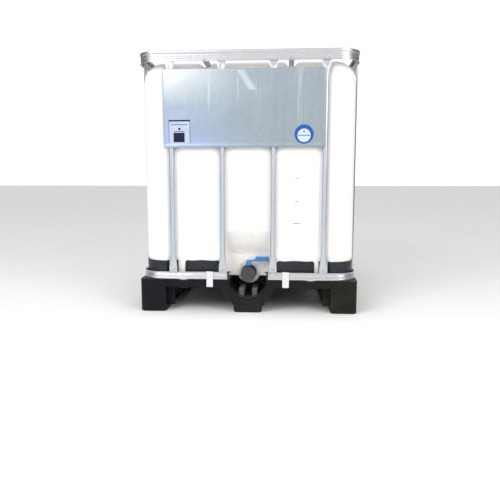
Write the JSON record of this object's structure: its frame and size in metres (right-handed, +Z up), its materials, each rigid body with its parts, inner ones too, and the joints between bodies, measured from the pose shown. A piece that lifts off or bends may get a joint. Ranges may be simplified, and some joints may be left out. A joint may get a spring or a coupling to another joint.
{
  "type": "intermediate bulk container",
  "caption": "Palletised liquid container: translucent plastic bottle in a galvanised tube cage with a label plate, on a black plastic pallet, with a bottom outlet valve and a screw lid.",
  "frame": {"origin": "centre of the bounding box at floor level, under the centre skid", "axes": "+Z up, -Y towards the valve side, +X to the right of someone facing the valve"},
  "size_m": [1, 1.2, 1.172],
  "materials": {
    "pallet_plastic": "moulded, slightly dusty black plastic",
    "tray_plastic": "smooth black sheet plastic",
    "end_cap_plastic": "black plug plastic",
    "ring_steel": "bright galvanised, roll formed",
    "tube_steel": "galvanised tube, pale grey",
    "clip_steel": "bright zinc strap",
    "plate_steel": "galvanised sheet, blue-grey with pale streaks",
    "fastener_zinc": "zinc plated",
    "label_film": "printed film",
    "bottle_plastic": "milky blow-moulded plastic",
    "lid_plastic": "black plastic",
    "vent_plastic": "red plastic",
    "gasket_rubber": "black rubber",
    "valve_plastic": "black plastic",
    "nut_plastic": "black plastic",
    "disc_plastic": "natural plastic",
    "spindle_steel": "turned steel",
    "lever_plastic": "bright blue plastic",
    "cap_plastic": "dark grey plastic"
  },
  "bodies": {
    "container": {"pallet_deck": "pallet_plastic", "left_feet": "pallet_plastic", "centre_feet": "pallet_plastic", "right_feet": "pallet_plastic", "valve_well": "pallet_plastic", "skids": "pallet_plastic", "skid_screws": "fastener_zinc", "bottom_ring": "ring_steel", "top_ring": "ring_steel", "ring_end_caps": "end_cap_plastic", "ring_joint_plate": "ring_steel", "ring_clips": "clip_steel", "tube_fasteners": "fastener_zinc", "left_crossbar": "tube_steel", "right_crossbar": "tube_steel", "crossbar_bolts": "fastener_zinc", "label_plate": "plate_steel", "plate_clips": "clip_steel", "plate_labels": "label_film", "tray_floor": "tray_plastic", "front_panels": "tray_plastic", "back_panels": "tray_plastic", "side_panels": "tray_plastic", "bottle": "bottle_plastic", "filling_neck": "bottle_plastic", "valve_recess": "bottle_plastic", "flange_gasket": "gasket_rubber", "valve_body": "valve_plastic", "union_nut": "nut_plastic", "front_tube_1": "tube_steel", "front_tube_2": "tube_steel", "front_tube_3": "tube_steel", "front_tube_4": "tube_steel", "back_tube_1": "tube_steel", "back_tube_2": "tube_steel", "back_tube_3": "tube_steel", "back_tube_4": "tube_steel", "left_tube_1": "tube_steel", "left_tube_2": "tube_steel", "left_tube_3": "tube_steel", "left_tube_4": "tube_steel", "left_tube_5": "tube_steel", "right_tube_1": "tube_steel", "right_tube_2": "tube_steel", "right_tube_3": "tube_steel", "right_tube_4": "tube_steel", "right_tube_5": "tube_steel", "corner_panel_front_left": "tray_plastic", "corner_panel_front_right": "tray_plastic", "corner_panel_back_left": "tray_plastic", "corner_panel_back_right": "tray_plastic"},
    "lever": {"valve_lever": "lever_plastic", "lever_screw": "fastener_zinc", "valve_spindle": "spindle_steel", "butterfly_disc": "disc_plastic"},
    "lid_seal": {"lid_gasket": "gasket_rubber"},
    "filling_lid": {"lid": "lid_plastic", "vent_plug": "vent_plastic"},
    "cap_seal": {"cap_gasket": "gasket_rubber"},
    "dust_cap": {"outlet_cap": "cap_plastic"}
  },
  "joints": [
    {"name": "lever_turn", "type": "hinge", "parent": "container", "child": "lever", "pos_m": [0, -0.525, 0.24], "axis": [0, 0, 1], "range_deg": [-90, 0]},
    {"name": "lid_rise", "type": "slide", "parent": "container", "child": "lid_seal", "axis": [0, 0, 1], "range_m": [0, 0.024]},
    {"name": "lid_turn", "type": "hinge", "parent": "lid_seal", "child": "filling_lid", "pos_m": [0, 0, 1.13], "axis": [0, 0, 1], "range_deg": [0, 1080]},
    {"name": "cap_out", "type": "slide", "parent": "container", "child": "cap_seal", "axis": [0, -1, 0], "range_m": [0, 0.018]},
    {"name": "cap_turn", "type": "hinge", "parent": "cap_seal", "child": "dust_cap", "pos_m": [0, -0.56, 0.172], "axis": [0, -1, 0], "range_deg": [0, 1080]}
  ],
  "couplings": [
    {"joint": "lid_turn", "follows": "lid_rise", "rad_per_m": 785.4},
    {"joint": "cap_turn", "follows": "cap_out", "rad_per_m": 1047.2}
  ]
}
